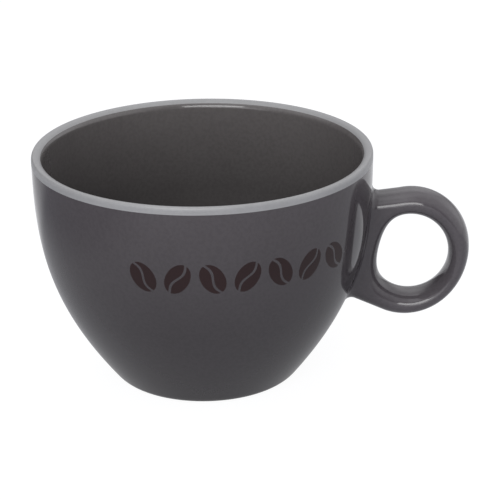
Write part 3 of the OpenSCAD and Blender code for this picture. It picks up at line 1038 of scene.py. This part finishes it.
def stage_direction(azimuth, elevation):
    """A direction seen from the cup: azimuth in degrees from the camera's side toward the handle."""
    turn, rise = math.radians(azimuth) + CAMERA_TURN, math.radians(elevation)
    return Vector((math.sin(turn) * math.cos(rise), -math.cos(turn) * math.cos(rise), math.sin(rise)))


def studio_world():
    """Surroundings that are white to the camera and light the cup by the panels."""
    world = bpy.data.worlds.new("studio")
    world.use_nodes = True
    tree = world.node_tree
    sky = tree.nodes["Background"]
    sky.inputs["Color"].default_value = SKY_COLOUR
    direction = tree.nodes.new("ShaderNodeTexCoord").outputs["Generated"]
    total = 0
    for azimuth, elevation, half_angle, brightness in PANELS:
        nearness = tree.nodes.new("ShaderNodeVectorMath")
        nearness.operation = "DOT_PRODUCT"
        nearness.inputs[1].default_value = stage_direction(azimuth, elevation)
        tree.links.new(direction, nearness.inputs[0])
        edge = math.cos(math.radians(half_angle))
        panel = ranged(tree, nearness.outputs["Value"], edge, 1, 0, brightness, smooth=True)
        total = math_node(tree, "ADD", total, panel)
    tree.links.new(chosen(tree, "Is Camera Ray", total, 1), sky.inputs["Strength"])
    return world


floor_mesh = bpy.data.meshes.new("floor")
floor_turns = [2 * math.pi * i / FLOOR_FACETS for i in range(FLOOR_FACETS)]
floor_ring = [(FLOOR_RADIUS * math.cos(a), FLOOR_RADIUS * math.sin(a), -FLOOR_DROP) for a in floor_turns]
floor_mesh.from_pydata(floor_ring, [], [list(range(FLOOR_FACETS))])
floor_mesh.materials.append(floor_paper())
floor = bpy.data.objects.new("floor", floor_mesh)
bpy.context.scene.collection.objects.link(floor)
bpy.context.scene.world = studio_world()

SOFT_BOX_DISTANCE = 1.0
SOFT_BOX_WIDTH = 0.75
SOFT_BOX_DEPTH = 0.4
SOFT_BOX_RADIANCE = 5.5
SOFT_BOX_AZIMUTH = -9
SOFT_BOX_ELEVATION = 31
SOFT_BOX_AIM = Vector((0.016, 0, 0.05))
soft_box = bpy.data.lights.new("soft_box", "AREA")
soft_box.shape = "RECTANGLE"
soft_box.size = SOFT_BOX_WIDTH
soft_box.size_y = SOFT_BOX_DEPTH
soft_box.energy = SOFT_BOX_RADIANCE * math.pi * SOFT_BOX_WIDTH * SOFT_BOX_DEPTH
soft_box_object = bpy.data.objects.new("soft_box", soft_box)
bpy.context.scene.collection.objects.link(soft_box_object)
soft_box_way = stage_direction(SOFT_BOX_AZIMUTH, SOFT_BOX_ELEVATION)
soft_box_object.location = SOFT_BOX_AIM + soft_box_way * SOFT_BOX_DISTANCE
soft_box_object.rotation_euler = soft_box_way.to_track_quat("Z", "Y").to_euler()


# Camera: in front of the cup and a little above it, with a long lens. Its place, turn and roll are
# fitted to the photograph.
CAMERA_ELEVATION = math.radians(21.684)
CAMERA_ROLL = math.radians(-0.643)
CAMERA_DISTANCE = 684.09 * MM
CAMERA_TARGET = Vector((16.41, 0, 44.89)) * MM
FOCAL_PIXELS = 1900
IMAGE_PIXELS = 500
SENSOR_WIDTH = 36
camera_data = bpy.data.cameras.new("camera")
camera_data.sensor_width = SENSOR_WIDTH
camera_data.lens = SENSOR_WIDTH * FOCAL_PIXELS / IMAGE_PIXELS
camera = bpy.data.objects.new("camera", camera_data)
bpy.context.scene.collection.objects.link(camera)
back = Vector((0, -math.cos(CAMERA_ELEVATION), math.sin(CAMERA_ELEVATION)))
right = Vector((1, 0, 0))
up = back.cross(right)
rolled_right = right * math.cos(CAMERA_ROLL) + up * math.sin(CAMERA_ROLL)
rolled_up = up * math.cos(CAMERA_ROLL) - right * math.sin(CAMERA_ROLL)
turn = Matrix.Rotation(CAMERA_TURN, 4, "Z")
pose = Matrix((rolled_right, rolled_up, back)).transposed().to_4x4()
pose.translation = CAMERA_TARGET + back * CAMERA_DISTANCE
camera.matrix_world = turn @ pose
bpy.context.scene.camera = camera
bpy.context.scene.view_settings.view_transform = "Standard"
